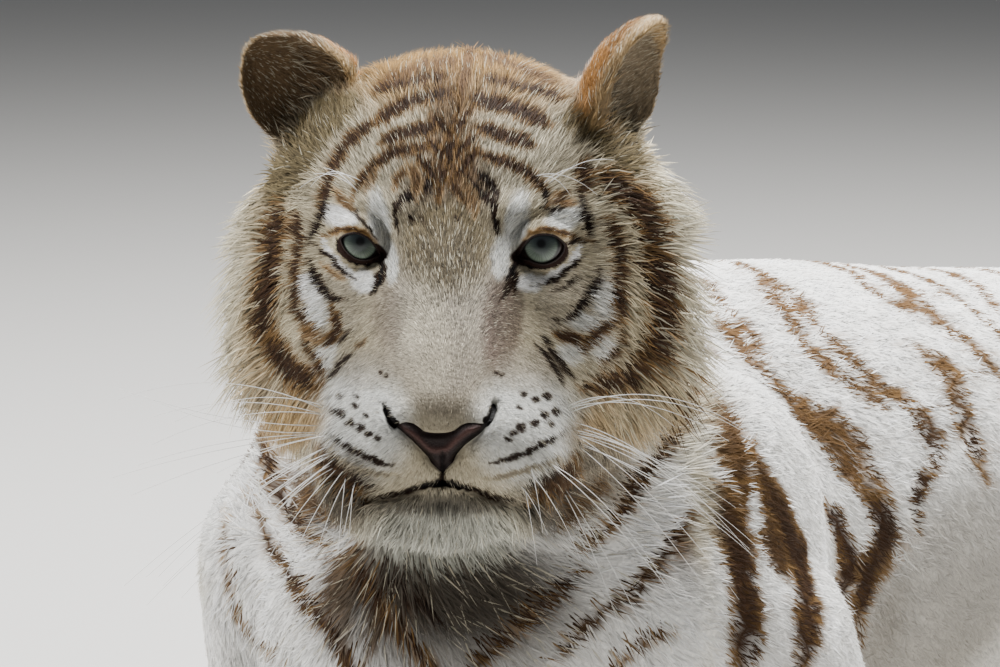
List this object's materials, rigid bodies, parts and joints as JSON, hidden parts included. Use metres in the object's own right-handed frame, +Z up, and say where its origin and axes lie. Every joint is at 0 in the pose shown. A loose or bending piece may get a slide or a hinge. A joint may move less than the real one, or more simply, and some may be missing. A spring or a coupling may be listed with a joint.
{
  "type": "lying white tiger model",
  "caption": "Life-size still model of a white tiger lying on its belly with its head raised and turned, forelegs stretched ahead and tail trailing behind.",
  "frame": {"origin": "middle of the model's box at floor level", "axes": "+Z up, the tiger's trunk faces -Y and its left side is +X"},
  "size_m": [1.382, 1.8724, 0.7579],
  "materials": {
    "coat": "short dense fur, cream with brown stripes",
    "ear_coat": "short fur with long pale hairs inside",
    "eye": "wet and glossy, pale grey-green iris",
    "nose_leather": "bare pebbled skin, slightly moist"
  },
  "bodies": {
    "root": {"belly": "coat", "chest": "coat", "forearm_left": "coat", "forearm_right": "coat", "forepaw_left": "coat", "forepaw_right": "coat", "head": "coat", "hind_paw_left": "coat", "hind_paw_right": "coat", "lower_jaw": "coat", "neck": "coat", "rump": "coat", "shank_left": "coat", "shank_right": "coat", "shoulder_left": "coat", "shoulder_right": "coat", "tail_base": "coat", "tail_middle": "coat", "tail_tip": "coat", "thigh_left": "coat", "thigh_right": "coat", "ear_left": "ear_coat", "ear_right": "ear_coat", "eye_left": "eye", "eye_right": "eye", "nose": "nose_leather"}
  },
  "joints": []
}
